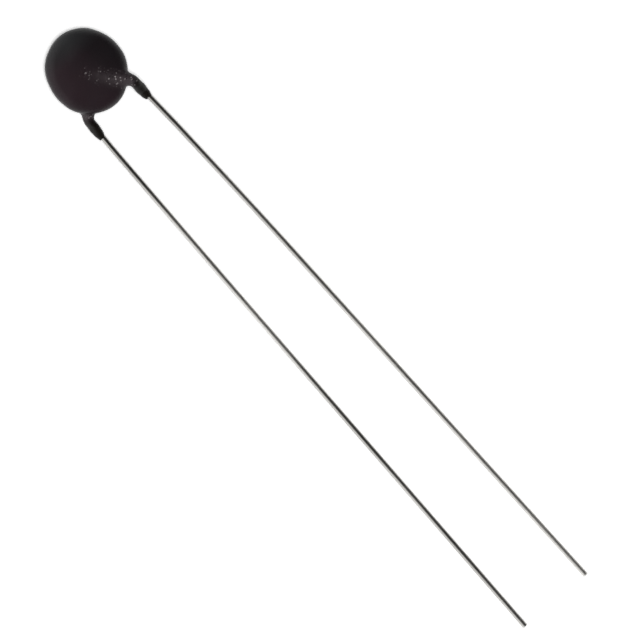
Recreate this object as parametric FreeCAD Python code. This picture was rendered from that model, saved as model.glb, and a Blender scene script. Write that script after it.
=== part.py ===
"""Disc thermistor with two long wire leads.

A ceramic disc with a silver electrode on each face, a lead soldered to each electrode, and one dipped resin
coating over all of it that runs a little way down both leads.

The disc's own frame has its centre at the origin, its front face towards +Z and the leads running along +X.
The finished part lies on its back face and its lead ends, so every piece is pitched and shifted alike.
"""

import math
import os

import FreeCAD
import Part

Vector = FreeCAD.Vector

# Ceramic disc, in millimetres
ceramic_diameter = 6.6
ceramic_thickness = 1.9
ceramic_edge_break = 0.12

# Fired silver electrode on each face
electrode_thickness = 0.03
electrode_margin = 0.3

# Wire leads
lead_diameter = 0.5
lead_overlap = 0.75
lead_cut_bevel = 0.04
rim_bend_standoff = 1.07
rim_bend_radius = 1.2
kink_run = 1.25
kink_radius = 0.9
set_radius = 60.0
bow_radius = 600.0

# Front lead, with its angles in degrees and its bends placed by their distance from the coating's end
front_lead_offset = 2.67
front_lead_length = 59.15
front_lead_splay = 2.2
front_set_distance = 3.6
front_set_turn = 0.97
front_bow_distance = 15.3
front_bow_turn = 0.73

# Back lead
back_lead_offset = 2.81
back_lead_length = 59.1
back_lead_splay = 2.6
back_set_distance = 1.2
back_set_turn = 1.7
back_bow_distance = 17.6
back_bow_turn = 0.22

# Solder that holds each lead to its electrode
solder_film = 0.05
solder_height = 0.42
solder_width = 1.4
solder_past_lead = 0.3
solder_reach = 1.9

# Dipped coating over the disc
coat_side = 0.39
coat_stretch = 0.35
coat_turn = 8.0
coat_shoulder = 1.1
coat_belly = 0.45
coat_over_lead = 0.21

# Coating along each lead: its thickness beside the wire and, on the disc, over the wire
ridge_start = 0.9
ridge_start_cover = -0.08
ridge_before_bend = 2.2
ridge_coat = 0.2
ridge_cover = 0.05
web_before_bend = 1.0
web_coat = 0.42
web_cover = 0.1
rim_coat = 0.32
rim_cover = 0.1
root_coat = 0.27
leg_coat = 0.2
leg_taper_coat = 0.13
leg_tip_coat = 0.05
leg_tip_run = 0.92
ring_spacing = 0.7
loft_degree = 2

FRONT = 1
BACK = -1

ceramic_radius = ceramic_diameter / 2
ceramic_face = ceramic_thickness / 2
electrode_radius = ceramic_radius - electrode_margin
electrode_face = ceramic_face + electrode_thickness
lead_radius = lead_diameter / 2
lead_height = electrode_face + solder_film + lead_radius
coat_radius = ceramic_radius + coat_side
coat_crown = lead_height + lead_radius + coat_over_lead
dome_radius = (coat_radius**2 + coat_belly**2) / (2 * coat_belly)

SIDES = {FRONT: "front", BACK: "back"}
LEADS = {
    FRONT: (front_lead_offset, front_lead_length, front_lead_splay),
    BACK: (back_lead_offset, back_lead_length, back_lead_splay),
}
LEAD_BENDS = {
    FRONT: (front_set_distance, front_set_turn, front_bow_distance, front_bow_turn),
    BACK: (back_set_distance, back_set_turn, back_bow_distance, back_bow_turn),
}


def heading(side, degrees):
    """Level direction that leans away from the centre line, to the lead's own side, by an angle."""
    angle = math.radians(degrees)
    return Vector(math.cos(angle), side * math.sin(angle), 0)


def lead_corners(side):
    """Corner points of a lead: inner end, bend beside the rim, kink to mid-plane, slight set, bow, cut end."""
    offset, length, splay = LEADS[side]
    set_distance, set_turn, bow_distance, bow_turn = LEAD_BENDS[side]
    rim = ceramic_radius + rim_bend_standoff
    bend = Vector(math.sqrt(rim**2 - offset**2), side * offset, 0)
    inward = Vector(bend).normalize()
    up = Vector(0, 0, side * lead_height)
    kink = bend + heading(side, splay) * kink_run
    slight_set = kink + heading(side, splay) * (leg_tip_run + set_distance)
    bow = slight_set + heading(side, splay - set_turn) * (bow_distance - set_distance)
    tip = bow + heading(side, splay - set_turn - bow_turn) * (length - bow_distance)
    return [up - inward * lead_overlap, up + bend, kink, slight_set, bow, tip]


def coat_end_point(side):
    """Point on a lead where the coating stops."""
    kink, slight_set = lead_corners(side)[2:4]
    return kink + (slight_set - kink).normalize() * leg_tip_run


def corner_arc(before, corner, after, radius):
    """Arc that rounds a corner, as its start, middle and end."""
    back = (before - corner).normalize()
    ahead = (after - corner).normalize()
    half = back.getAngle(ahead) / 2
    run = radius / math.tan(half)
    middle = corner + (back + ahead).normalize() * (radius / math.sin(half) - radius)
    return corner + back * run, middle, corner + ahead * run


def rounded_path(corners, radii):
    """Straight runs through the corners, joined by tangent arcs."""
    edges = []
    start = corners[0]
    for before, corner, after, radius in zip(corners, corners[1:], corners[2:], radii):
        arc = corner_arc(before, corner, after, radius)
        edges.append(Part.LineSegment(start, arc[0]).toShape())
        edges.append(Part.Arc(*arc).toShape())
        start = arc[2]
    edges.append(Part.LineSegment(start, corners[-1]).toShape())
    return Part.Wire(edges)


def lead_path(side):
    """Centre line of a whole lead."""
    return rounded_path(lead_corners(side), (rim_bend_radius, kink_radius, set_radius, bow_radius))


def coated_path(side):
    """Centre line of the stretch of a lead that the coating covers."""
    corners = lead_corners(side)[:3] + [coat_end_point(side)]
    return rounded_path(corners, (rim_bend_radius, kink_radius))


def round_edges_at(solid, centre):
    """Circular edges of a solid that lie about a point."""
    near = lead_radius / 10
    circles = [e for e in solid.Edges if isinstance(e.Curve, Part.Circle)]
    return [e for e in circles if (e.Curve.Center - centre).Length < near]


def make_lead(side):
    """Drawn wire, bent beside the rim and at mid-plane, with both cut ends slightly bevelled."""
    corners = lead_corners(side)
    start = Part.Wire(Part.makeCircle(lead_radius, corners[0], corners[1] - corners[0]))
    wire = lead_path(side).makePipeShell([start], True, False)
    ends = round_edges_at(wire, corners[0]) + round_edges_at(wire, corners[-1])
    return wire.makeChamfer(lead_cut_bevel, ends).Solids[0]


def make_ceramic():
    """Pressed and sintered disc with its edges broken."""
    disc = Part.makeCylinder(ceramic_radius, ceramic_thickness, Vector(0, 0, -ceramic_face))
    rims = [e for e in disc.Edges if isinstance(e.Curve, Part.Circle)]
    return disc.makeChamfer(ceramic_edge_break, rims).Solids[0]


def make_electrode(side):
    """Thin round layer of silver on one face, held back from the disc's edge."""
    base = Vector(0, 0, side * ceramic_face)
    return Part.makeCylinder(electrode_radius, electrode_thickness, base, Vector(0, 0, side))


def solder_envelope(side):
    """Long low mound on the electrode, the top of a capsule sunk in it, not yet cut for the lead."""
    half_width = solder_width / 2
    radius = (half_width**2 + solder_height**2) / (2 * solder_height)
    axis = electrode_face + solder_height - radius
    start = Vector(half_width - lead_overlap - solder_past_lead, 0, axis)
    end = Vector(solder_reach - half_width, 0, axis)
    along = Vector(1, 0, 0)
    capsule = Part.makeCylinder(radius, end.x - start.x, start, along)
    capsule = capsule.fuse([Part.makeSphere(radius, start, along), Part.makeSphere(radius, end, along)])
    reach = 2 * (solder_reach + lead_overlap)
    above = Part.makeBox(2 * reach, 2 * reach, reach, Vector(-reach, -reach, electrode_face))
    mound = capsule.removeSplitter().common(above)
    if side == BACK:
        mound.rotate(Vector(0, 0, 0), along, 180)
    bend = lead_corners(side)[1]
    mound.rotate(Vector(0, 0, 0), Vector(0, 0, 1), math.degrees(math.atan2(bend.y, bend.x)))
    return mound.Solids[0]


def coated_disc():
    """Body of the coating without its legs: an oval with both faces domed in turn, and a round shoulder."""
    oval = Part.Ellipse(Vector(0, 0, -coat_crown), coat_radius + coat_stretch, coat_radius)
    body = Part.Face(Part.Wire(oval.toShape())).extrude(Vector(0, 0, 2 * coat_crown))
    ball = Part.makeSphere(dome_radius, Vector(0, 0, coat_crown - dome_radius), Vector(-1, 0, 0))
    for _ in SIDES:
        body = body.common(ball)
        body.rotate(Vector(0, 0, 0), Vector(1, 0, 0), 180)
    rims = [edge for edge in body.Edges if edge.isClosed() and edge.Length > coat_radius]
    body = body.makeFillet(coat_shoulder, rims)
    body.rotate(Vector(0, 0, 0), Vector(0, 0, 1), -coat_turn)
    return body


def walk(path, distance):
    """Point and direction on a path at a distance from its start."""
    for edge in path.OrderedEdges:
        if distance <= edge.Length:
            place = edge.getParameterByLength(distance)
            return edge.valueAt(place), edge.tangentAt(place)
        distance -= edge.Length
    return edge.valueAt(edge.LastParameter), edge.tangentAt(edge.LastParameter)


def ring(point, along, radius):
    """Circle about a point, square to a direction, that starts at its lower side."""
    across = Vector(0, 0, 1).cross(along).normalize()
    circle = Part.Wire(Part.makeCircle(radius))
    circle.Placement = FreeCAD.Placement(point, FreeCAD.Rotation(across, along.cross(across), along, "ZXY"))
    return circle


def eased(stations, distance):
    """Values at a distance, each changing smoothly from one station to the next."""
    for (start, *before), (end, *after) in zip(stations, stations[1:]):
        if distance <= end:
            share = max(distance - start, 0) / (end - start)
            blend = share**2 * (3 - 2 * share)
            return [old + (new - old) * blend for old, new in zip(before, after)]
    return stations[-1][1:]


def coated_leg(side):
    """Skin over one lead: a ridge that rises out of the face, a web at the rim and a leg that tapers to the wire."""
    path = coated_path(side)
    runs = [edge.Length for edge in path.OrderedEdges]
    bend_start = runs[0]
    bend_end = bend_start + runs[1]
    kink_start = bend_end + runs[2]
    kink_end = kink_start + runs[3]
    stations = [
        (ridge_start, ridge_coat, ridge_start_cover),
        (bend_start - ridge_before_bend, ridge_coat, ridge_cover),
        (bend_start - web_before_bend, web_coat, web_cover),
        (bend_start, rim_coat, rim_cover),
        (bend_end, root_coat, root_coat),
        (kink_start, leg_coat, leg_coat),
        (kink_end, leg_taper_coat, leg_taper_coat),
        (path.Length, leg_tip_coat, leg_tip_coat),
    ]
    covered = path.Length - ridge_start
    steps = math.ceil(covered / ring_spacing)
    rings = []
    for step in range(steps + 1):
        distance = ridge_start + covered * step / steps
        coat, cover = eased(stations, distance)
        point, along = walk(path, distance)
        sink = Vector(0, 0, side * (coat - cover))
        rings.append(ring(point - sink, along, lead_radius + coat))
    return Part.makeLoft(rings, True, False, False, loft_degree)


def make_coating(inner):
    """Dipped coating with its hollow for the pieces inside."""
    outside = coated_disc().fuse(coated_leg(FRONT)).fuse(coated_leg(BACK))
    return outside.cut(inner).Solids[0]


def resting_pitch():
    """Angle in radians that sets the back dome and the farther lead end on one level surface."""
    tip = max(lead_corners(side)[-1].x for side in SIDES)
    centre = dome_radius - coat_crown
    return math.atan2(tip, centre) - math.acos((dome_radius - lead_radius) / math.hypot(centre, tip))


def make_pieces():
    """All pieces in the disc's own frame, by name."""
    pieces = {"ceramic_disc": make_ceramic()}
    inner = [pieces["ceramic_disc"]]
    for side, name in SIDES.items():
        wire = make_lead(side)
        mound = solder_envelope(side)
        pieces[name + "_electrode"] = make_electrode(side)
        pieces[name + "_lead"] = wire
        pieces[name + "_solder"] = mound.cut(wire).Solids[0]
        inner += [pieces[name + "_electrode"], mound, wire]
    pieces["coating"] = make_coating(inner)
    return pieces


def lay_down(pieces):
    """Pitch the part onto its back face and lead ends, with the origin at the middle of its footprint."""
    pitch = FreeCAD.Rotation(Vector(0, 1, 0), math.degrees(resting_pitch()))
    for shape in pieces.values():
        shape.Placement = FreeCAD.Placement(Vector(0, 0, 0), pitch).multiply(shape.Placement)
    box = FreeCAD.BoundBox()
    for shape in pieces.values():
        box.add(shape.optimalBoundingBox(False))
    shift = Vector(-box.Center.x, -box.Center.y, -box.ZMin)
    for shape in pieces.values():
        shape.translate(shift)
    return shift


def main():
    pieces = make_pieces()
    lay_down(pieces)
    os.makedirs("parts", exist_ok=True)
    for name, shape in pieces.items():
        shape.exportStep("parts/" + name + ".step")
        box = shape.BoundBox
        size = (round(box.XLength, 2), round(box.YLength, 2), round(box.ZLength, 2))
        print(name, shape.ShapeType, "valid", shape.isValid(), "volume", round(shape.Volume, 3), "size", size)


if __name__ == "__main__":
    main()
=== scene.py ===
"""Looks of a disc thermistor: its dipped coating, its tinned leads and what they hold, on a pale floor.

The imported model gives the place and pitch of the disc. The coating's skin is worked out as the zero surface
of a distance, in millimetres, in the disc's own frame: centre at the origin, front face towards +Z and the
leads along +X.
"""

import logging
import math
from dataclasses import dataclass
from enum import Enum
from typing import Any, Callable, Sequence

import bmesh
import bpy
import numpy as np
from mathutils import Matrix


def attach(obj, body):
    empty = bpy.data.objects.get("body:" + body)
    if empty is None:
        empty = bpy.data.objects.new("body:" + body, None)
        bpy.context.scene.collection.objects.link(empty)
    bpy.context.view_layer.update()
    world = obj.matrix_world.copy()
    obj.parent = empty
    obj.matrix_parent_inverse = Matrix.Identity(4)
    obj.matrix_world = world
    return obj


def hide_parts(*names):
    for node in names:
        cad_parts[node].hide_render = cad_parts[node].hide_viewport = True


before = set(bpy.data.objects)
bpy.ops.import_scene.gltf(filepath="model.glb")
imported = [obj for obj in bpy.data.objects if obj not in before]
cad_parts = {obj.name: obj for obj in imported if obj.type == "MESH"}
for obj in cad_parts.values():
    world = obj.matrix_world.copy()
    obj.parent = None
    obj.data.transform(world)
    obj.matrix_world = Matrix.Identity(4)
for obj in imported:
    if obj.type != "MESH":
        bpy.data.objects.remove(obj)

Tree = bpy.types.NodeTree
Node = bpy.types.Node
Socket = bpy.types.NodeSocket
Material = bpy.types.Material
Piece = bpy.types.Object
Pair = tuple[float, float]
Triple = tuple[float, float, float]
Distance = Callable[[np.ndarray], np.ndarray]

MM = 0.001
BODY = "root"
LOG = logging.getLogger("thermistor")

# A slope is measured over a grid step divided by this, to either side of a point.
SLOPE_PARTS = 3


class Side(Enum):
    """The two faces of the disc, by the sign of their height and of their lead's place."""

    FRONT = 1
    BACK = -1


def linear(colour: str) -> tuple[float, float, float, float]:
    """Turn an sRGB hex colour into linear red, green, blue and full alpha.

    Args:
        colour: Six hex digits after a hash sign.

    Returns:
        Four numbers for a colour socket.
    """
    channels = [int(colour[i:i + 2], 16) / 255 for i in (1, 3, 5)]
    return (*[c / 12.92 if c <= 0.04045 else ((c + 0.055) / 1.055) ** 2.4 for c in channels], 1.0)


def per_feature(size_mm: float) -> float:
    """Scale of a pattern on coordinates in metres, from the size in millimetres of one of its features."""
    return 1 / (size_mm * MM)


def add_node(tree: Tree, kind: str, inputs: dict[str | int, Any] | None = None, **settings: Any) -> Node:
    """Add a node, set its properties, and set or link its inputs.

    Args:
        tree: Node tree that gets the node.
        kind: Blender's name of the node type.
        inputs: Values or output sockets, by input name or number.
        **settings: Properties of the node.

    Returns:
        The new node.
    """
    node = tree.nodes.new(kind)
    for name, value in settings.items():
        setattr(node, name, value)
    for name, value in (inputs or {}).items():
        if isinstance(value, bpy.types.NodeSocket):
            tree.links.new(value, node.inputs[name])
        else:
            node.inputs[name].default_value = value
    return node


def new_material(name: str) -> tuple[Material, Tree]:
    """Make an empty material with nodes.

    Args:
        name: Name of the finish.

    Returns:
        The material and its cleared node tree.
    """
    material = bpy.data.materials.new(name)
    material.use_nodes = True
    material.node_tree.nodes.clear()
    return material, material.node_tree


def finish_surface(tree: Tree, shader: Node) -> None:
    """Link a shader node to a new material output."""
    add_node(tree, "ShaderNodeOutputMaterial", {"Surface": shader.outputs[0]})


@dataclass(frozen=True)
class DippedResin:
    """Phenolic resin, dipped in several coats and cured.

    It gives the eye a near-black brown with a dull satin face, cooler at the end away from the leads,
    darker towards the side away from the light, which is painted shade, and faintly cloudy. Over a wire it
    shows clusters of pale specks, which are painted glints, and dark specks, which are painted shade in the
    pits, with tiny pits in the relief. Over the wire at the rim a paler patch lies on the lit flank of the
    ridge: partly a thinner coat and partly a painted highlight. The legs are a dark olive. The grain of its
    filler is finer than a pixel, and is drawn coarser so that it shows.

    Attributes:
        cool_edge_mm: Where the cool tone begins along X, and where it is full.
        painted_shade_way: Level direction, away from the light, in which the painted shade gets darker.
        painted_shade_edge_mm: Where that painted shade begins along the direction, and where it is full.
        cloud_share: Share of cloud in the edge of a tone.
        cluster_edge: Noise at which a cluster of specks begins, and at which it is full.
        pale_chance: Random number of a cell from which it begins to hold a pale dot, a painted glint, and at
            which it does.
        dark_chance: The same for a dark dot, painted shade in the pits.
        dot_edge: Distance at which a dot ends, and from which it is full, as shares of a cell.
    """

    cool: str = "#252627"
    brown: str = "#281C21"
    # Painted shade: the tone towards the side away from the light.
    painted_shade: str = "#0C090B"
    # Paler over a wire at the rim: partly the thinner coat, partly a painted highlight on the ridge's lit
    # flank.
    thin_coat_and_highlight: str = "#474143"
    leg: str = "#15120F"
    # Pale specks are painted glints, and dark specks are painted shade in the pits.
    painted_glint: str = "#968F90"
    painted_pit_shade: str = "#050405"
    roughness: float = 0.48
    shine: float = 0.2
    cool_edge_mm: Pair = (-31.5, -34.0)
    # The painted shade deepens this way, away from the light and mostly towards +Y.
    painted_shade_way: Triple = (-0.34, 0.94, 0.0)
    painted_shade_edge_mm: Pair = (8.4, 13.4)
    cloud_mm: float = 2.4
    cloud_share: float = 0.3
    peel_mm: float = 0.6
    peel_depth_mm: float = 0.015
    grain_mm: float = 0.14
    grain_depth_mm: float = 0.003
    speck_mm: float = 0.2
    speck_depth_mm: float = 0.06
    cluster_mm: float = 1.1
    cluster_edge: Pair = (0.36, 0.5)
    pale_chance: Pair = (0.5, 0.8)
    dark_chance: Pair = (0.5, 0.3)
    dot_edge: Pair = (0.45, 0.2)

    def material(self) -> Material:
        """Build the material.

        Returns:
            Clouded colour, darker on the side away from the light in painted shade, paler in a patch that is
            partly a painted highlight, with specks of painted glints and painted shade where the skin's own
            attributes say so, and relief.
        """
        material, tree = new_material("dipped_resin")
        place = add_node(tree, "ShaderNodeTexCoord").outputs["Object"]
        # Shares that the skin carries: the paler patch, partly a painted highlight; the legs; and where
        # specks of painted glint and painted shade in the pits show.
        thin_coat_and_highlight, leg, pits_and_glints = [add_node(tree, "ShaderNodeAttribute", attribute_name=name).outputs["Fac"]
                               for name in ("thin_coat_and_highlight", "leg", "pits_and_glints")]
        cloud = add_node(tree, "ShaderNodeTexNoise", {"Vector": place, "Scale": per_feature(self.cloud_mm),
                                                      "Detail": 2.0}).outputs["Fac"]
        aside = add_node(tree, "ShaderNodeVectorMath", {0: place, 1: self.painted_shade_way},
                         operation="DOT_PRODUCT").outputs["Value"]
        along = add_node(tree, "ShaderNodeSeparateXYZ", {"Vector": place}).outputs["X"]
        cells = add_node(tree, "ShaderNodeTexVoronoi",
                         {"Vector": place, "Scale": per_feature(self.speck_mm)})
        chance = add_node(tree, "ShaderNodeSeparateColor", {"Color": cells.outputs["Color"]}).outputs["Red"]
        cluster = add_node(tree, "ShaderNodeTexNoise",
                           {"Vector": place, "Scale": per_feature(self.cluster_mm), "Detail": 0.0})
        gather = add_node(tree, "ShaderNodeMapRange",
                          {"Value": cluster.outputs["Fac"], "From Min": self.cluster_edge[0],
                           "From Max": self.cluster_edge[1]})
        strength = add_node(tree, "ShaderNodeMath", {0: gather.outputs["Result"], 1: pits_and_glints},
                            operation="MULTIPLY").outputs[0]
        # Over the brown: painted shade on the side away from the light, the cool end, the paler patch that is
        # partly a painted highlight, the legs, pale specks that are painted glints, and dark specks that are
        # painted shade in the pits.
        layers = ((self._clouded(tree, aside, cloud, self.painted_shade_edge_mm), self.painted_shade),
                  (self._clouded(tree, along, cloud, self.cool_edge_mm), self.cool),
                  (thin_coat_and_highlight, self.thin_coat_and_highlight), (leg, self.leg),
                  (self._dots(tree, cells, chance, strength, self.pale_chance), self.painted_glint),
                  (self._dots(tree, cells, chance, strength, self.dark_chance), self.painted_pit_shade))
        colour = linear(self.brown)
        for share, shade in layers:
            colour = add_node(tree, "ShaderNodeMix", {"Factor": share, "A": colour, "B": linear(shade)},
                              data_type="RGBA").outputs["Result"]
        shader = add_node(tree, "ShaderNodeBsdfPrincipled",
                          {"Base Color": colour, "Roughness": self.roughness,
                           "Specular IOR Level": self.shine,
                           "Normal": self._relief(tree, place, cells, strength)})
        finish_surface(tree, shader)
        return material

    def _clouded(self, tree: Tree, along: Socket, cloud: Socket, edge_mm: Pair) -> Socket:
        """Add a soft edge between two tones, with some cloud in it.

        Args:
            tree: Node tree of the material.
            along: Distance in metres in the direction of the change.
            cloud: Noise.
            edge_mm: Where the change begins and where it is full.

        Returns:
            Share of the second tone.
        """
        ramp = add_node(tree, "ShaderNodeMapRange", {"Value": along, "From Min": edge_mm[0] * MM,
                                                     "From Max": edge_mm[1] * MM},
                        interpolation_type="SMOOTHSTEP")
        mixed = add_node(tree, "ShaderNodeMix", {"Factor": self.cloud_share, "A": ramp.outputs["Result"],
                                                 "B": cloud}, data_type="FLOAT")
        return mixed.outputs["Result"]

    def _dots(self, tree: Tree, cells: Node, chance: Socket, strength: Socket, edge: Pair) -> Socket:
        """Add round dots to the cells that chance picks.

        Args:
            tree: Node tree of the material.
            cells: Cells that may hold a dot.
            chance: Random number of each cell.
            strength: How far dots show at a place.
            edge: Chance from which a cell begins to hold a dot, and at which it does.

        Returns:
            Share of the dots' colour.
        """
        dots = add_node(tree, "ShaderNodeMapRange", {"Value": chance, "From Min": edge[0],
                                                     "From Max": edge[1]}).outputs["Result"]
        middle = add_node(tree, "ShaderNodeMapRange",
                          {"Value": cells.outputs["Distance"], "From Min": self.dot_edge[0],
                           "From Max": self.dot_edge[1]})
        for share in (middle.outputs["Result"], strength):
            dots = add_node(tree, "ShaderNodeMath", {0: dots, 1: share}, operation="MULTIPLY").outputs[0]
        return dots

    def _relief(self, tree: Tree, place: Socket, cells: Node, strength: Socket) -> Socket:
        """Add the relief: a slight peel, the filler's grain and the pits.

        Args:
            tree: Node tree of the material.
            place: Coordinates on the piece.
            cells: Cells of the specks, which are also the pits.
            strength: How far specks and pits show at a place.

        Returns:
            Direction that the face seems to look in.
        """
        peel = add_node(tree, "ShaderNodeTexNoise",
                        {"Vector": place, "Scale": per_feature(self.peel_mm), "Detail": 1.0})
        grain = add_node(tree, "ShaderNodeTexNoise",
                         {"Vector": place, "Scale": per_feature(self.grain_mm), "Detail": 3.0})
        pits = add_node(tree, "ShaderNodeMath", {0: cells.outputs["Distance"], 1: strength},
                        operation="MULTIPLY")
        below = {}
        for height, depth_mm in ((peel.outputs["Fac"], self.peel_depth_mm),
                                 (grain.outputs["Fac"], self.grain_depth_mm),
                                 (pits.outputs[0], self.speck_depth_mm)):
            bump = add_node(tree, "ShaderNodeBump", {"Height": height, "Distance": depth_mm * MM, **below})
            below = {"Normal": bump.outputs["Normal"]}
        return below["Normal"]


@dataclass(frozen=True)
class TinnedWire:
    """Drawn copper-clad wire, hot-tinned.

    It gives the eye a grey metal with fine streaks along its length and small dull patches. Long stretches
    are smooth and mirror a sharp dark line, and others are rougher and paler. The real draw lines are finer
    than a pixel, and are drawn coarser so that they show.

    Attributes:
        stretch_edge: Noise at which a rough stretch begins, and at which it is full.
        stretch_share: Share of the stretches in the tone, beside the streaks.
        patch_share: Share of the patches in the roughness, beside the stretches.
    """

    bright: str = "#E8E6E2"
    dull: str = "#93918D"
    smooth: float = 0.24
    rough: float = 0.6
    streak_mm: float = 0.09
    streak_length_mm: float = 4.0
    stretch_mm: float = 18.0
    stretch_shift: Triple = (-3.4, 7.0, 3.0)
    stretch_edge: Pair = (0.32, 0.65)
    stretch_share: float = 0.7
    patch_mm: float = 1.3
    patch_share: float = 0.25
    streak_depth_mm: float = 0.003

    def material(self) -> Material:
        """Build the material.

        Returns:
            Metal with long streaks in tone and relief, and stretches and patches in roughness.
        """
        material, tree = new_material("tinned_wire")
        place = add_node(tree, "ShaderNodeTexCoord").outputs["Object"]
        across = per_feature(self.streak_mm)
        drawn = add_node(tree, "ShaderNodeMapping",
                         {"Vector": place, "Scale": (per_feature(self.streak_length_mm), across, across)})
        streak = add_node(tree, "ShaderNodeTexNoise",
                          {"Vector": drawn.outputs[0], "Scale": 1.0, "Detail": 2.0})
        patch = add_node(tree, "ShaderNodeTexNoise",
                         {"Vector": place, "Scale": per_feature(self.patch_mm), "Detail": 3.0})
        length = per_feature(self.stretch_mm)
        shifted = add_node(tree, "ShaderNodeMapping", {"Vector": place, "Scale": (length, length, length),
                                                       "Location": self.stretch_shift})
        stretch = add_node(tree, "ShaderNodeTexNoise",
                           {"Vector": shifted.outputs[0], "Scale": 1.0, "Detail": 1.0})
        share = add_node(tree, "ShaderNodeMapRange",
                         {"Value": stretch.outputs["Fac"], "From Min": self.stretch_edge[0],
                          "From Max": self.stretch_edge[1]})
        both = add_node(tree, "ShaderNodeMix", {"Factor": self.stretch_share, "A": streak.outputs["Fac"],
                                                "B": share.outputs["Result"]}, data_type="FLOAT")
        tone = add_node(tree, "ShaderNodeMix", {"Factor": both.outputs["Result"], "A": linear(self.dull),
                                                "B": linear(self.bright)}, data_type="RGBA")
        patched = add_node(tree, "ShaderNodeMix", {"Factor": self.patch_share, "A": share.outputs["Result"],
                                                   "B": patch.outputs["Fac"]}, data_type="FLOAT")
        rough = add_node(tree, "ShaderNodeMapRange", {"Value": patched.outputs["Result"],
                                                      "To Min": self.smooth, "To Max": self.rough})
        drawn_relief = add_node(tree, "ShaderNodeBump", {"Height": streak.outputs["Fac"],
                                                         "Distance": self.streak_depth_mm * MM})
        shader = add_node(tree, "ShaderNodeBsdfPrincipled",
                          {"Base Color": tone.outputs["Result"], "Metallic": 1.0,
                           "Roughness": rough.outputs["Result"], "Normal": drawn_relief.outputs["Normal"]})
        finish_surface(tree, shader)
        return material


@dataclass(frozen=True)
class SinteredOxide:
    """Metal-oxide ceramic, pressed and sintered.

    It gives the eye a matt charcoal with a fine even grain, drawn coarser than it is so that it shows.
    """

    dark: str = "#2B2B2D"
    light: str = "#3D3C3E"
    roughness: float = 0.72
    ior: float = 1.7
    grain_mm: float = 0.12
    grain_depth_mm: float = 0.008

    def material(self) -> Material:
        """Build the material.

        Returns:
            Grained colour and relief.
        """
        material, tree = new_material("sintered_oxide")
        place = add_node(tree, "ShaderNodeTexCoord").outputs["Object"]
        grain = add_node(tree, "ShaderNodeTexNoise",
                         {"Vector": place, "Scale": per_feature(self.grain_mm), "Detail": 4.0})
        tone = add_node(tree, "ShaderNodeMix", {"Factor": grain.outputs["Fac"], "A": linear(self.dark),
                                                "B": linear(self.light)}, data_type="RGBA")
        relief = add_node(tree, "ShaderNodeBump", {"Height": grain.outputs["Fac"],
                                                   "Distance": self.grain_depth_mm * MM})
        shader = add_node(tree, "ShaderNodeBsdfPrincipled",
                          {"Base Color": tone.outputs["Result"], "Roughness": self.roughness,
                           "IOR": self.ior, "Normal": relief.outputs["Normal"]})
        finish_surface(tree, shader)
        return material


@dataclass(frozen=True)
class PlainMetal:
    """A soft metal layer with a mottled face: fired silver paste, or solder that has flowed and set.

    Silver gives the eye a pale matt white metal, and solder a smoother grey one.
    """

    name: str
    dark: str
    light: str
    roughness: float
    mottle_mm: float
    depth_mm: float

    def material(self) -> Material:
        """Build the material.

        Returns:
            Mottled metal with shallow relief.
        """
        material, tree = new_material(self.name)
        place = add_node(tree, "ShaderNodeTexCoord").outputs["Object"]
        mottle = add_node(tree, "ShaderNodeTexNoise",
                          {"Vector": place, "Scale": per_feature(self.mottle_mm), "Detail": 3.0})
        tone = add_node(tree, "ShaderNodeMix", {"Factor": mottle.outputs["Fac"], "A": linear(self.dark),
                                                "B": linear(self.light)}, data_type="RGBA")
        relief = add_node(tree, "ShaderNodeBump", {"Height": mottle.outputs["Fac"],
                                                   "Distance": self.depth_mm * MM})
        shader = add_node(tree, "ShaderNodeBsdfPrincipled",
                          {"Base Color": tone.outputs["Result"], "Metallic": 1.0,
                           "Roughness": self.roughness, "Normal": relief.outputs["Normal"]})
        finish_surface(tree, shader)
        return material


def vectors(items: bpy.types.bpy_prop_collection, name: str) -> np.ndarray:
    """Read a vector of each item of a mesh.

    Args:
        items: Vertices, or their normals.
        name: Name of the vector.

    Returns:
        The vectors, one to a row.
    """
    values = np.empty(len(items) * 3, np.float32)
    items.foreach_get(name, values)
    return values.reshape(-1, 3)


@dataclass(frozen=True)
class DiscPlace:
    """Where the disc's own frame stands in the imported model.

    Attributes:
        centre: Middle of the disc, in millimetres in the row frame.
        pitch: Angle in radians that the disc leans about +Y.
    """

    centre: np.ndarray
    pitch: float

    @staticmethod
    def plate_middle(node: str) -> np.ndarray:
        """Middle of a round plate in millimetres, as the mean of its distinct vertices."""
        places = vectors(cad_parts[node].data.vertices, "co") / MM
        return np.unique(np.round(places, decimals=4), axis=0).mean(axis=0)

    @classmethod
    def from_electrodes(cls) -> "DiscPlace":
        """Work the frame out from the two electrodes, which lie evenly about the disc's middle.

        Returns:
            The frame's place: halfway between them, pitched as the line from the back to the front.
        """
        front = cls.plate_middle("front_electrode")
        back = cls.plate_middle("back_electrode")
        normal = front - back
        return cls((front + back) / 2, math.atan2(normal[0], normal[2]))

    def turn(self) -> np.ndarray:
        """Rotation from the disc's frame to the row frame, about +Y."""
        c, s = math.cos(self.pitch), math.sin(self.pitch)
        return np.array([[c, 0, s], [0, 1, 0], [-s, 0, c]])

    def to_row(self, points: np.ndarray) -> np.ndarray:
        """Points of the disc's frame, in millimetres, as points of the row frame, in metres."""
        return (points @ self.turn().T + self.centre) * MM


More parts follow.
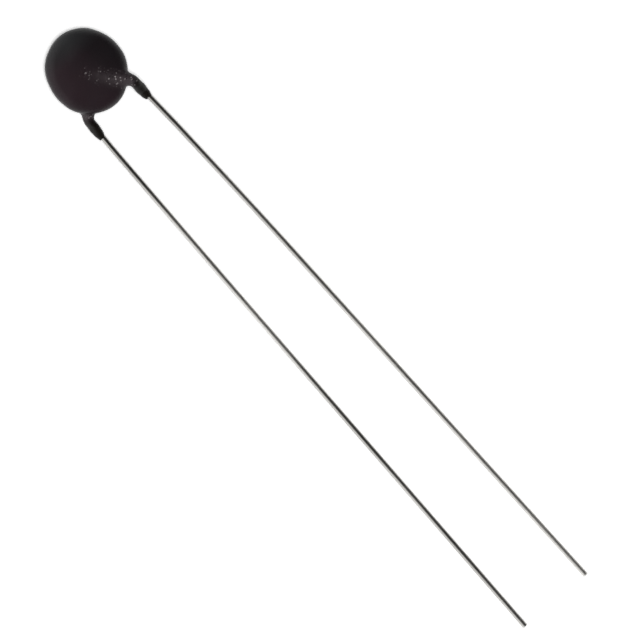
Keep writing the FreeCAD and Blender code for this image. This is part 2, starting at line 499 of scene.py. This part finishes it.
def rounded_line(corners: np.ndarray, radii: Sequence[float], step: float) -> np.ndarray:
    """Line through corners with each inner one replaced by a tangent arc.

    A corner whose two runs meet at half-angle h is cut off at radius / tan(h) on both sides, and the arc
    runs about the centre at radius / sin(h) along the line that halves the corner.

    Args:
        corners: Corner points, one to a row.
        radii: Radius at each inner corner.
        step: Greatest distance between points of an arc.

    Returns:
        Points along the line, one to a row.
    """
    pieces = [corners[:1]]
    for before, corner, after, radius in zip(corners, corners[1:], corners[2:], radii):
        back = (before - corner) / np.linalg.norm(before - corner)
        ahead = (after - corner) / np.linalg.norm(after - corner)
        half = math.acos(float(np.clip(back @ ahead, -1, 1))) / 2
        middle = (back + ahead) / np.linalg.norm(back + ahead)
        centre = corner + middle * radius / math.sin(half)
        reach = math.pi / 2 - half
        count = max(4, math.ceil(2 * reach * radius / step))
        angle = np.linspace(-reach, reach, count + 1)[:, None]
        along = (ahead - back) / np.linalg.norm(ahead - back)
        pieces.append(centre - middle * radius * np.cos(angle) + along * radius * np.sin(angle))
    pieces.append(corners[-1:])
    return np.concatenate(pieces)


def ease(x: np.ndarray, knots: Sequence[float], values: Sequence[float]) -> np.ndarray:
    """Curve through values at knots, level at each: between two of them, the share t goes as 3t² - 2t³.

    Args:
        x: Places to read the curve at.
        knots: Rising places of the values.
        values: Value at each knot.

    Returns:
        One value to a place.
    """
    x = np.clip(x, knots[0], knots[-1])
    i = np.clip(np.searchsorted(knots, x, side="right") - 1, 0, len(knots) - 2)
    low, high = np.take(knots, i), np.take(knots, i + 1)
    t = (x - low) / (high - low)
    start, end = np.take(values, i), np.take(values, i + 1)
    return start + (end - start) * t * t * (3 - 2 * t)


@dataclass(frozen=True)
class Patch:
    """Stretch of skin that looks different over the soldered run of a wire.

    Attributes:
        rise: Where the share begins to rise and where it is full, as shares of the run.
        spread: Its half width at the start of the run and at the end.
        aside: How far its middle lies beside the wire, along Y.
        reach: How far its middle line goes, as a share of the run.
        fade_end: Where it has faded out past the rim, as a share of the run.
        fade_run: Length of that fade, as a share of the run.
    """

    rise: Pair
    spread: Pair
    aside: float
    reach: float = 1.1
    fade_end: float = 1.35
    fade_run: float = 0.2


@dataclass(frozen=True)
class WireRoute:
    """Centre line of one lead where the coating holds it, in the disc's frame, in millimetres.

    Attributes:
        side: Face of the disc that the lead is soldered to.
        offset: Distance from the centre line at the rim.
        splay: Angle in degrees that the free lead leans outwards.
    """

    side: Side
    offset: float
    splay: float
    height: float = 1.28
    overlap: float = 0.75
    bend_reach: float = 4.37
    bend_radius: float = 1.2
    kink_run: float = 1.25
    kink_radius: float = 0.9
    coated_run: float = 0.92
    arc_step: float = 0.12

    def corners(self) -> np.ndarray:
        """Work out the corners of the coated stretch.

        Returns:
            Inner end on the disc, bend beside the rim, kink at mid-plane and the coating's end.
        """
        sign = self.side.value
        bend = np.array([math.sqrt(self.bend_reach**2 - self.offset**2), sign * self.offset, 0.0])
        inward = bend / self.bend_reach
        up = np.array([0.0, 0.0, sign * self.height])
        out = self.heading()
        kink = bend + out * self.kink_run
        return np.array([up - inward * self.overlap, up + bend, kink, kink + out * self.coated_run])

    def heading(self) -> np.ndarray:
        """Level direction of the free lead."""
        angle = math.radians(self.splay)
        return np.array([math.cos(angle), self.side.value * math.sin(angle), 0.0])

    def line(self) -> np.ndarray:
        """Points along the coated stretch, with its two bends as arcs."""
        return rounded_line(self.corners(), [self.bend_radius, self.kink_radius], self.arc_step)


@dataclass(frozen=True)
class LegForm:
    """Skin that one lead pulls out of the coating: a ridge over the disc, a web at the rim and a leg.

    Stations run along the wire from its inner end, as distances before the rim bend, at it, and after it.
    At each one the skin is a round of the wire's radius plus a coat, sunk so that it covers the wire by
    less.

    Attributes:
        route: The lead's centre line.
        ragged: Phases in radians of the uneven edge where the coating stops.
        root_coat: Coat where the lead has left the rim.
        leg_coat: Coat before the kink.
        taper_coat: Coat after the kink.
        tip_coat: Coat at the edge where it stops.
        slant: How much farther the edge reaches for each millimetre towards +Y.
        lean: How far the leg's middle lies towards -Y from the wire.
        ragged_depth: Height of the first wave of the uneven edge.
        ragged_lobes: Number of waves round the wire in the second.
        ragged_share: Height of the second wave, as a share of the first.
    """

    route: WireRoute
    ragged: Pair
    root_coat: float
    leg_coat: float
    taper_coat: float
    tip_coat: float
    slant: float
    lean: float = 0.075
    wire_radius: float = 0.25
    ridge_start: float = 0.9
    ridge_start_coat: float = 0.2
    ridge_start_cover: float = -0.12
    ridge_before_bend: float = 2.2
    ridge_coat: float = 0.22
    ridge_cover: float = 0.05
    web_before_bend: float = 1.0
    web_coat: float = 0.42
    web_cover: float = 0.1
    rim_coat: float = 0.32
    rim_cover: float = 0.1
    ridge_step: float = 0.25
    ragged_depth: float = 0.05
    ragged_lobes: int = 3
    ragged_share: float = 0.6
    end_round: float = 0.05

    def stations(self) -> tuple[list[float], list[float], list[float]]:
        """Work out where the skin changes along the wire.

        A bend that turns by twice an angle h takes radius times tan(h) off the run on either side, and its
        arc is radius times 2h long.

        Returns:
            Distances along the wire, the coat at each and the cover at each.
        """
        route = self.route
        first, bend, kink, last = route.corners()
        flat, ahead = np.linalg.norm(bend - first), np.linalg.norm(kink - bend)
        bend_half = math.acos(float((bend - first) @ (kink - bend)) / (flat * ahead)) / 2
        kink_half = math.acos(float((kink - bend) @ (last - kink)) / (ahead * route.coated_run)) / 2
        bend_cut = route.bend_radius * math.tan(bend_half)
        kink_cut = route.kink_radius * math.tan(kink_half)
        bend_start = flat - bend_cut
        bend_end = bend_start + 2 * bend_half * route.bend_radius
        kink_start = bend_end + ahead - bend_cut - kink_cut
        kink_end = kink_start + 2 * kink_half * route.kink_radius
        end = kink_end + route.coated_run - kink_cut
        knots = [self.ridge_start, bend_start - self.ridge_before_bend, bend_start - self.web_before_bend,
                 bend_start, bend_end, kink_start, kink_end, end]
        coats = [self.ridge_start_coat, self.ridge_coat, self.web_coat, self.rim_coat, self.root_coat,
                 self.leg_coat, self.taper_coat, self.tip_coat]
        covers = [self.ridge_start_cover, self.ridge_cover, self.web_cover, self.rim_cover, self.root_coat,
                  self.leg_coat, self.taper_coat, self.tip_coat]
        return knots, coats, covers

    def distance(self, points: np.ndarray) -> np.ndarray:
        """Distance to the skin of the leg, negative inside.

        The nearest point of the sunk centre line gives a distance along the wire, and the skin's radius
        there is taken off. Past the end the leg is cut by a plane whose place wavers about the wire.

        Args:
            points: Points of the disc's frame, one to a row.

        Returns:
            One distance to a point.
        """
        knots, coats, covers = self.stations()
        line = self.route.line()
        flat = np.linalg.norm(line[1] - line[0])
        inner = np.linspace(line[0], line[1], math.ceil(flat / self.ridge_step) + 1)
        beyond = line[-1] + self.route.heading()
        line = np.concatenate([inner, line[2:], beyond[None]])
        along = np.concatenate([[0], np.cumsum(np.linalg.norm(np.diff(line, axis=0), axis=1))])
        sink = ease(along, knots, coats) - ease(along, knots, covers)
        lean = ease(along, [knots[3], knots[4]], [0.0, self.lean])
        sunk = line - np.outer(sink, [0, 0, self.route.side.value]) - np.outer(lean, [0, 1, 0])
        best = np.full(len(points), np.inf)
        where = np.zeros(len(points))
        for i in range(len(sunk) - 1):
            run = sunk[i + 1] - sunk[i]
            share = np.clip((points - sunk[i]) @ run / (run @ run), 0, 1)
            gap = np.linalg.norm(points - sunk[i] - share[:, None] * run, axis=1)
            nearer = gap < best
            best = np.where(nearer, gap, best)
            where = np.where(nearer, along[i] + share * (along[i + 1] - along[i]), where)
        skin = best - self.wire_radius - ease(where, knots, coats)
        return smooth_max(skin, self.past_end(points), self.end_round)

    def past_end(self, points: np.ndarray) -> np.ndarray:
        """Distance beyond the edge where the coating stops: a slanted plane plus two waves round the wire.

        Args:
            points: Points of the disc's frame, one to a row.

        Returns:
            One distance to a point, negative on the coated side.
        """
        out = self.route.heading()
        side = np.cross([0, 0, 1], out)
        offset = points - self.route.corners()[-1]
        angle = np.arctan2(offset[:, 2], offset @ side)
        second = self.ragged_share * np.sin(self.ragged_lobes * angle + self.ragged[1])
        wave = np.sin(angle + self.ragged[0]) + second
        return offset @ out - self.slant * offset[:, 1] + self.ragged_depth * wave

    def over_wire(self, points: np.ndarray, patch: Patch) -> np.ndarray:
        """Share from 0 to 1 of how much a point of the skin lies in a patch over the wire.

        It is a bell curve of the gap beside the patch's middle line, times how far the patch has risen and
        not yet faded out along the run.

        Args:
            points: Points of the disc's frame, one to a row.
            patch: The patch.

        Returns:
            One share to a point.
        """
        line = self.route.line()
        first, last = line[0], line[1]
        run = last - first
        share = (points - first) @ run / (run @ run)
        foot = first + np.clip(share, 0, patch.reach)[:, None] * run + np.array([0, patch.aside, 0])
        gap = np.linalg.norm((points - foot)[:, :2], axis=1)
        right_face = points[:, 2] * self.route.side.value > 0
        width = np.interp(share, [0, 1], patch.spread)
        fade = np.clip((patch.fade_end - share) / patch.fade_run, 0, 1)
        return np.exp(-((gap / width) ** 2)) * (np.interp(share, patch.rise, [0, 1]) * fade) * right_face


def smooth_min(a: np.ndarray, b: np.ndarray, width: np.ndarray | float) -> np.ndarray:
    """Lesser of two distances, less width·h²/4, where h is 1 minus their gap over the width, or 0."""
    h = np.maximum(width - np.abs(a - b), 0) / width
    return np.minimum(a, b) - h * h * width / 4


def smooth_max(a: np.ndarray, b: np.ndarray, width: float) -> np.ndarray:
    """Greater of two distances, rounded where they differ by less than a width."""
    return -smooth_min(-a, -b, width)


@dataclass(frozen=True)
class DiscForm:
    """Coated disc without its legs: domed faces, round shoulders and a slightly bulged side.

    Its half section is three tangent arcs, turned about the axis, then stretched along a direction near that
    of the leads, as the dip leaves it.

    Attributes:
        radius: Half of the disc's width.
        crown: Half of its thickness in the middle.
        shoulder: Radius of the round between face and side.
        belly: How much lower the top of the round lies than the middle of a face.
        side_bulge: How far the side stands out past the rounds.
        stretch: How much farther the disc reaches along the stretched direction.
        turn: Angle in degrees by which that direction leans from +X towards -Y.
    """

    radius: float = 3.69
    crown: float = 1.74
    shoulder: float = 1.1
    belly: float = 0.232
    side_bulge: float = 0.03
    stretch: float = 0.35
    turn: float = 8.0

    def distance(self, points: np.ndarray) -> np.ndarray:
        """Distance to the coated disc, negative inside.

        The point is turned and squeezed to a round disc, and then measured from the arc whose fan of radii
        it lies in: the side's if it is low, the dome's if it is near the axis, and else the shoulder's.

        Args:
            points: Points of the disc's frame, one to a row.

        Returns:
            One distance to a point.
        """
        angle = math.radians(self.turn)
        c, s = math.cos(angle), math.sin(angle)
        x = (points[:, 0] * c - points[:, 1] * s) / (1 + self.stretch / self.radius)
        y = points[:, 0] * s + points[:, 1] * c
        r = np.hypot(x, y)
        z = np.abs(points[:, 2])
        round_r = self.radius - self.side_bulge - self.shoulder
        round_z = self.crown - self.belly - self.shoulder
        rise = self.belly + self.shoulder
        dome = (round_r**2 + rise**2 - self.shoulder**2) / (2 * (rise - self.shoulder))
        run = self.radius - round_r
        side = (run**2 + round_z**2 - self.shoulder**2) / (2 * (run - self.shoulder))
        from_dome = np.hypot(r, z - (self.crown - dome)) - dome
        from_side = np.hypot(r - (self.radius - side), z) - side
        from_round = np.hypot(r - round_r, z - round_z) - self.shoulder
        in_dome = r * (round_z - self.crown + dome) < round_r * (z - self.crown + dome)
        in_side = z * (round_r - self.radius + side) < round_z * (r - self.radius + side)
        return np.where(in_dome, from_dome, np.where(in_side, from_side, from_round))


def surface_net(distance: Distance, low: Triple, high: Triple, step: float) -> tuple[np.ndarray, np.ndarray]:
    """Closed mesh of the zero surface of a distance.

    On a grid, each cell that the surface crosses gets one vertex, the mean of the crossings on its edges,
    and each grid edge that the surface crosses gets one quad through the four cells about it, wound
    outwards. Each vertex is then moved along the slope until the distance is zero.

    Args:
        distance: Function from points to distances, negative inside.
        low: Lowest corner of the grid.
        high: Highest corner of the grid.
        step: Spacing of the grid.

    Returns:
        Vertices, one to a row, and quads as rows of four vertex numbers.
    """
    axes = [np.arange(a, b + step, step) for a, b in zip(low, high)]
    level = np.stack(np.meshgrid(axes[1], axes[2], indexing="ij"), axis=-1).reshape(-1, 2)
    slabs = [distance(np.column_stack([np.full(len(level), x), level])) for x in axes[0]]
    values = np.array(slabs).reshape([len(a) for a in axes])
    cells = tuple(n - 1 for n in values.shape)
    total = np.zeros(cells + (3,))
    count = np.zeros(cells, int)
    crossings = []
    for axis in range(3):
        near = np.moveaxis(values, axis, 0)[:-1]
        far = np.moveaxis(values, axis, 0)[1:]
        near, far = np.moveaxis(near, 0, axis), np.moveaxis(far, 0, axis)
        crossed = (near < 0) != (far < 0)
        crossings.append((crossed, near < 0))
        place = np.stack(np.indices(near.shape), axis=-1).astype(float)
        place[..., axis] += np.where(crossed, near / np.where(crossed, near - far, 1), 0)
        place *= crossed[..., None]
        others = [a for a in range(3) if a != axis]
        for shift in ((0, 0), (0, 1), (1, 0), (1, 1)):
            window = [slice(None)] * 3
            for other, by in zip(others, shift):
                window[other] = slice(by, cells[other] + by)
            total += place[tuple(window)]
            count += crossed[tuple(window)]
    number = np.cumsum(count.ravel() > 0).reshape(cells) - 1
    vertices = total[count > 0] / count[count > 0][:, None] * step + np.array(low)
    quads = []
    for axis, (crossed, near_inside) in enumerate(crossings):
        u, v = (axis + 1) % 3, (axis + 2) % 3
        edge = np.argwhere(crossed)
        corners = []
        for du, dv in ((-1, -1), (0, -1), (0, 0), (-1, 0)):
            cell = edge.copy()
            cell[:, u] += du
            cell[:, v] += dv
            corners.append(number[tuple(cell.T)])
        quad = np.column_stack(corners)
        outwards = near_inside[tuple(edge.T)]
        quads.append(np.where(outwards[:, None], quad, quad[:, ::-1]))
    return settle(distance, vertices, step / SLOPE_PARTS), np.concatenate(quads)


def slope(distance: Distance, points: np.ndarray, reach: float) -> np.ndarray:
    """Slope of a distance, from its values a small reach to either side on each axis.

    Args:
        distance: Function from points to distances.
        points: Points, one to a row.
        reach: How far to either side it is read.

    Returns:
        One slope to a row.
    """
    parts = []
    for axis in range(3):
        shift = np.zeros(3)
        shift[axis] = reach
        parts.append((distance(points + shift) - distance(points - shift)) / (2 * reach))
    return np.column_stack(parts)


def settle(distance: Distance, points: np.ndarray, reach: float, rounds: int = 3,
           least: float = 0.05) -> np.ndarray:
    """Move points onto the zero surface: each round takes off distance times slope over slope squared.

    Args:
        distance: Function from points to distances.
        points: Points near the surface, one to a row.
        reach: How far to either side the slope is measured.
        rounds: Number of rounds.
        least: Least slope squared that a distance is divided by.

    Returns:
        The moved points.
    """
    for _ in range(rounds):
        ramp = slope(distance, points, reach)
        points = points - ramp * (distance(points) / np.maximum((ramp**2).sum(axis=1), least))[:, None]
    return points


def mesh_object(name: str, vertices: np.ndarray, faces: np.ndarray) -> Piece:
    """Object at the origin with a smooth mesh.

    Args:
        name: Name of the piece.
        vertices: Places in metres in the row frame.
        faces: Rows of vertex numbers.

    Returns:
        The object, linked to the scene.
    """
    mesh = bpy.data.meshes.new(name)
    mesh.from_pydata(vertices.tolist(), [], faces.tolist())
    mesh.polygons.foreach_set("use_smooth", np.ones(len(mesh.polygons), bool))
    mesh.update()
    piece = bpy.data.objects.new(name, mesh)
    bpy.context.scene.collection.objects.link(piece)
    return piece


@dataclass
class Coating:
    """Dipped coating: the coated disc and the two legs, melted together, and uneven as a hand dip is.

    Attributes:
        place: Where the disc's frame stands.
        melt_face: Width of the melt between the disc and a leg on the face.
        melt_rim: Width of that melt at the rim.
        rim_from: Distance from the disc's axis at which the melt begins to widen.
        rim_to: Distance at which it has the rim's width.
        legs_from: Where along X the legs begin to be measured.
        wave_phase: Greatest phase of a slow wave, in radians.
        bead_run: First and last place of a bead, as shares of a wire's soldered run.
        bead_spread: Spread of the beads beside the wire at the start of the run, and its growth along it.
        leg_edge: Distance from the disc's axis at which the leg's tone begins, and at which it is full.
        inside: Solids whose room is cut out of the skin.
        room_mm: Gap that the room leaves round a solid.
        merge_mm: Distance within which a solid's points are merged.
        sharp_angle: Angle in degrees past which an edge stays sharp.
    """

    place: DiscPlace
    disc: DiscForm = DiscForm()
    front: LegForm = LegForm(
        WireRoute(Side.FRONT, offset=2.67, splay=2.2), ragged=(0.6, 2.0), root_coat=0.25, leg_coat=0.29,
        taper_coat=0.22, tip_coat=0.085, slant=0.3)
    back: LegForm = LegForm(
        WireRoute(Side.BACK, offset=2.81, splay=2.6), ragged=(2.4, 0.3), root_coat=0.24, leg_coat=0.225,
        taper_coat=0.165, tip_coat=0.07, slant=-0.1)
    finish: DippedResin = DippedResin()
    # Where pale specks of painted glint, dark specks of painted shade and pits in the relief show over a
    # wire.
    pits_and_glints: Patch = Patch(rise=(-0.05, 0.3), spread=(0.4, 0.65), aside=-0.2)
    # Paler patch on the lit flank of a wire's ridge, towards -Y: partly the thinner coat, partly a painted
    # highlight.
    thin_coat_and_highlight: Patch = Patch(rise=(0.1, 1.2), spread=(0.45, 0.6), aside=-0.35)
    melt_face: float = 0.4
    melt_rim: float = 0.6
    rim_from: float = 2.9
    rim_to: float = 3.5
    legs_from: float = -0.5
    grid_step: float = 0.06
    low: Triple = (-4.3, -4.2, -2.1)
    high: Triple = (6.0, 4.2, 2.1)
    wave_count: int = 6
    wave_height: float = 0.012
    wave_length: Pair = (1.8, 4.5)
    wave_phase: float = 6.3
    bead_count: int = 34
    bead_height: float = 0.028
    bead_radius: Pair = (0.06, 0.12)
    bead_run: Pair = (0.1, 1.05)
    bead_spread: Pair = (0.12, 0.25)
    seed: int = 7
    leg_edge: Pair = (4.1, 5.0)
    inside: tuple[str, ...] = ("ceramic_disc", "front_electrode", "back_electrode", "front_solder",
                               "back_solder", "front_lead", "back_lead")
    room_mm: float = 0.01
    merge_mm: float = 0.0001
    sharp_angle: float = 40.0

    def distance(self, points: np.ndarray) -> np.ndarray:
        """Distance to the disc and each leg, joined by a smooth minimum that is rounder at the rim.

        Args:
            points: Points of the disc's frame, one to a row.

        Returns:
            One distance to a point, negative inside.
        """
        body = self.disc.distance(points)
        melt = ease(np.hypot(points[:, 0], points[:, 1]), (self.rim_from, self.rim_to),
                    (self.melt_face, self.melt_rim))
        near = points[:, 0] > self.legs_from
        for leg in (self.front, self.back):
            body[near] = smooth_min(body[near], leg.distance(points[near]), melt[near])
        return body

    def relief(self, points: np.ndarray) -> np.ndarray:
        """Height of the unevenness: a few long waves, and small beads and dips over the two ridges.

        Each wave is the sine of the distance along a random direction, and each bead is a bell curve of the
        distance to a random place beside the wire.

        Args:
            points: Points of the skin in the disc's frame, one to a row.

        Returns:
            One height to a point.
        """
        random = np.random.default_rng(self.seed)
        height = np.zeros(len(points))
        for _ in range(self.wave_count):
            direction = random.normal(size=3)
            direction /= np.linalg.norm(direction)
            length = random.uniform(*self.wave_length)
            phase = random.uniform(0, self.wave_phase)
            height += self.wave_height * np.sin(points @ direction * 2 * math.pi / length + phase)
        for leg in (self.front, self.back):
            line = leg.route.line()
            run = line[1] - line[0]
            across = np.cross([0, 0, 1], run / np.linalg.norm(run))
            on_face = points[:, 2] * leg.route.side.value > 0
            for _ in range(self.bead_count):
                share = random.uniform(*self.bead_run)
                spread = self.bead_spread[0] + self.bead_spread[1] * share
                centre = line[0] + share * run + across * random.normal() * spread
                radius = random.uniform(*self.bead_radius)
                gap = np.linalg.norm((points - centre)[:, :2], axis=1)
                bell = np.exp(-((gap / radius) ** 2)) * on_face
                height += self.bead_height * random.choice([-1.0, 1.0]) * bell
        return height

    def build(self) -> Piece:
        """Build the skin and dress it.

        Returns:
            The finished piece.
        """
        points, quads = surface_net(self.distance, self.low, self.high, self.grid_step)
        normal = slope(self.distance, points, self.grid_step / SLOPE_PARTS)
        normal /= np.linalg.norm(normal, axis=1)[:, None]
        uneven = points + normal * self.relief(points)[:, None]
        rows = self.place.to_row(uneven)
        # The lowest lumps are flattened where the part lies on the floor.
        rows[:, 2] = np.maximum(rows[:, 2], 0.0)
        piece = mesh_object("coating_skin", rows, quads)
        for name, share in self.shares(points).items():
            attribute = piece.data.attributes.new(name, "FLOAT", "POINT")
            attribute.data.foreach_set("value", share.astype(np.float32))
        self.hollow(piece)
        piece.data.materials.append(self.finish.material())
        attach(piece, BODY)
        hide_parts("coating")
        LOG.info("coating_skin: %d vertices, %d faces", len(piece.data.vertices), len(piece.data.polygons))
        return piece

    def shares(self, points: np.ndarray) -> dict[str, np.ndarray]:
        """Shares from 0 to 1, one to a point of the skin, that the finish reads by their names.

        Args:
            points: Points of the disc's frame, one to a row.

        Returns:
            How far the skin is speckled and thin over the wires, and how far it is leg.
        """
        legs = (self.front, self.back)
        shares = {name: np.maximum(*[leg.over_wire(points, patch) for leg in legs])
                  for name, patch in (("pits_and_glints", self.pits_and_glints), ("thin_coat_and_highlight", self.thin_coat_and_highlight))}
        shares["leg"] = ease(np.hypot(points[:, 0], points[:, 1]), self.leg_edge, (0.0, 1.0))
        return shares

    def room(self, node: str) -> Piece:
        """Merged copy of a solid, each point moved out along its normal by a hair.

        Args:
            node: Name of the solid.

        Returns:
            The copy, linked to the scene.
        """
        shape = bmesh.new()
        shape.from_mesh(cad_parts[node].data)
        bmesh.ops.remove_doubles(shape, verts=shape.verts, dist=self.merge_mm * MM)
        mesh = bpy.data.meshes.new(node + "_room")
        shape.to_mesh(mesh)
        shape.free()
        gap = np.float32(self.room_mm * MM)
        places = vectors(mesh.vertices, "co") + vectors(mesh.vertex_normals, "vector") * gap
        mesh.vertices.foreach_set("co", places.ravel())
        copy = bpy.data.objects.new(mesh.name, mesh)
        bpy.context.scene.collection.objects.link(copy)
        return copy

    def hollow(self, piece: Piece) -> None:
        """Cut the room of each piece inside out of the skin, and keep the edges of the cuts sharp.

        Args:
            piece: The skin.
        """
        rooms = [self.room(node) for node in self.inside]
        for room in rooms:
            cut = piece.modifiers.new(room.name, "BOOLEAN")
            cut.operation = "DIFFERENCE"
            cut.solver = "MANIFOLD"
            cut.object = room
        graph = bpy.context.evaluated_depsgraph_get()
        hollowed = bpy.data.meshes.new_from_object(piece.evaluated_get(graph))
        piece.modifiers.clear()
        piece.data = hollowed
        hollowed.materials.clear()
        hollowed.set_sharp_from_angle(angle=math.radians(self.sharp_angle))
        for room in rooms:
            bpy.data.objects.remove(room)


@dataclass
class MetalAndCeramic:
    """Pieces that keep their solid's shape and get their real finish: leads, solder, silver and ceramic."""

    wire: TinnedWire = TinnedWire()
    ceramic: SinteredOxide = SinteredOxide()
    silver: PlainMetal = PlainMetal("fired_silver", "#B9B6AE", "#DAD8D2", roughness=0.55, mottle_mm=0.2,
                                    depth_mm=0.003)
    solder: PlainMetal = PlainMetal("solder", "#8F9092", "#B4B5B6", roughness=0.3, mottle_mm=0.5,
                                    depth_mm=0.01)

    def dress(self) -> None:
        """Give each solid its material."""
        finishes = {
            self.wire.material(): ("front_lead", "back_lead"),
            self.ceramic.material(): ("ceramic_disc",),
            self.silver.material(): ("front_electrode", "back_electrode"),
            self.solder.material(): ("front_solder", "back_solder"),
        }
        for material, names in finishes.items():
            for name in names:
                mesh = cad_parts[name].data
                mesh.materials.clear()
                mesh.materials.append(material)
                LOG.info("%s: %s", name, material.name)


@dataclass
class Studio:
    """Pale floor, a soft lamp overhead, a wall that is bright on one side, and a camera straight above.

    The lamp gives the plain light and sends the shadow under the part. Reflections come from the wall
    towards -Y, the left and lower left of the picture, and the side towards +Y stays dark, so that the wires
    and the satin coating show their roundness. Lengths are in millimetres, apart from the camera's clip.

    Attributes:
        view_centre: Place on the floor that the camera looks at.
        view_turn: Angle in degrees that the camera is turned about +Z.
        view_width: Width of the picture at the floor.
        clip: Nearest and farthest distance that the camera sees, in metres.
        floor_half: Half of the floor's edge.
        lit_side: Direction of the bright wall.
        lit_from: Cosine of the angle to it at which the wall begins to brighten.
        lit_to: Cosine at which the wall is as bright as it gets.
        wall_plain: Level of the wall for all but mirrored light.
        lamp_power: Light of the lamp in watts.
    """

    view_centre: Pair = (0.817, 0.93)
    view_turn: float = 48.4
    view_width: float = 58.56
    lens: float = 1000.0
    sensor: float = 36.0
    clip: Pair = (0.01, 20.0)
    paper: str = "#F0F0F0"
    white: str = "#FFFFFF"
    floor_half: float = 4000.0
    floor_glow: float = 0.25
    lit_side: Triple = (-0.6, -0.8, 0.0)
    lit_from: float = 0.1
    lit_to: float = 0.88
    wall_bright: float = 1.75
    wall_dark: float = 0.05
    wall_plain: float = 0.25
    lamp_height: float = 500.0
    lamp_size: float = 100.0
    lamp_power: float = 1.9

    def camera(self) -> None:
        """Look straight down, with the frame's width at the height of the floor set by the lens."""
        data = bpy.data.cameras.new("camera")
        data.lens = self.lens
        data.sensor_width = self.sensor
        data.clip_start, data.clip_end = self.clip
        eye = bpy.data.objects.new("camera", data)
        x, y = self.view_centre
        eye.location = (x * MM, y * MM, self.view_width * self.lens / self.sensor * MM)
        eye.rotation_euler = (0.0, 0.0, math.radians(self.view_turn))
        bpy.context.scene.collection.objects.link(eye)
        bpy.context.scene.camera = eye
        LOG.info("camera %.0f mm above the floor", eye.location.z / MM)

    def floor(self) -> None:
        """Lay a white floor that glows a little for the camera and in reflections, and keeps the shadow."""
        half = self.floor_half * MM
        corners = np.array([[-half, -half, 0], [half, -half, 0], [half, half, 0], [-half, half, 0]])
        plane = mesh_object("floor", corners, np.array([[0, 1, 2, 3]]))
        material, tree = new_material("white_floor")
        paper = add_node(tree, "ShaderNodeBsdfDiffuse", {"Color": linear(self.paper)})
        rays = add_node(tree, "ShaderNodeLightPath")
        shiny = add_node(tree, "ShaderNodeMath", {0: rays.outputs["Is Glossy Ray"],
                                                  1: rays.outputs["Is Transmission Ray"]},
                         operation="MAXIMUM")
        seen = add_node(tree, "ShaderNodeMath", {0: rays.outputs["Is Camera Ray"], 1: shiny.outputs[0]},
                        operation="MAXIMUM")
        strength = add_node(tree, "ShaderNodeMath", {0: seen.outputs[0], 1: self.floor_glow},
                            operation="MULTIPLY")
        glow = add_node(tree, "ShaderNodeEmission", {"Color": linear(self.white),
                                                     "Strength": strength.outputs[0]})
        both = add_node(tree, "ShaderNodeAddShader", {0: paper.outputs[0], 1: glow.outputs[0]})
        finish_surface(tree, both)
        plane.data.materials.append(material)
        LOG.info("floor")

    def walls(self) -> None:
        """Make walls that mirror bright on the lit side and dark opposite, and that light all sides alike.

        A glossy ray meets a wall whose brightness goes with its direction, the camera meets white, and any
        other ray meets one plain level.
        """
        world = bpy.data.worlds.new("studio")
        world.use_nodes = True
        tree = world.node_tree
        tree.nodes.clear()
        towards = add_node(tree, "ShaderNodeTexCoord").outputs["Generated"]
        facing = add_node(tree, "ShaderNodeVectorMath", {0: towards, 1: self.lit_side},
                          operation="DOT_PRODUCT")
        share = add_node(tree, "ShaderNodeMapRange",
                         {"Value": facing.outputs["Value"], "From Min": self.lit_from,
                          "From Max": self.lit_to, "To Min": self.wall_dark, "To Max": self.wall_bright},
                         interpolation_type="SMOOTHSTEP")
        rays = add_node(tree, "ShaderNodeLightPath")
        mirrored = add_node(tree, "ShaderNodeMix", {"Factor": rays.outputs["Is Glossy Ray"],
                                                    "A": self.wall_plain, "B": share.outputs["Result"]},
                            data_type="FLOAT")
        room = add_node(tree, "ShaderNodeBackground", {"Color": linear(self.white),
                                                       "Strength": mirrored.outputs["Result"]})
        white = add_node(tree, "ShaderNodeBackground", {"Color": linear(self.white), "Strength": 1.0})
        seen = add_node(tree, "ShaderNodeMath", {0: rays.outputs["Is Camera Ray"],
                                                 1: rays.outputs["Is Transmission Ray"]},
                        operation="MAXIMUM")
        mixed = add_node(tree, "ShaderNodeMixShader", {0: seen.outputs[0], 1: room.outputs[0],
                                                       2: white.outputs[0]})
        add_node(tree, "ShaderNodeOutputWorld", {"Surface": mixed.outputs[0]})
        bpy.context.scene.world = world
        LOG.info("walls")

    def lamp(self) -> None:
        """Hang a square soft lamp straight above the part, which nothing glossy mirrors."""
        data = bpy.data.lights.new("overhead", "AREA")
        data.size = self.lamp_size * MM
        data.energy = self.lamp_power
        lamp = bpy.data.objects.new("overhead", data)
        lamp.visible_glossy = False
        lamp.location = (0.0, 0.0, self.lamp_height * MM)
        bpy.context.scene.collection.objects.link(lamp)
        LOG.info("lamp %.0f mm above the floor", self.lamp_height)

    def build(self) -> None:
        """Set up the camera, the floor, the walls and the lamp."""
        self.camera()
        self.floor()
        self.walls()
        self.lamp()
        bpy.context.scene.view_settings.view_transform = "Standard"


def main() -> None:
    """Build each sub-assembly in order."""
    logging.basicConfig(level=logging.INFO, format="%(message)s")
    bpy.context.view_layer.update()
    Studio().build()
    MetalAndCeramic().dress()
    Coating(DiscPlace.from_electrodes()).build()


if __name__ == "__main__":
    main()
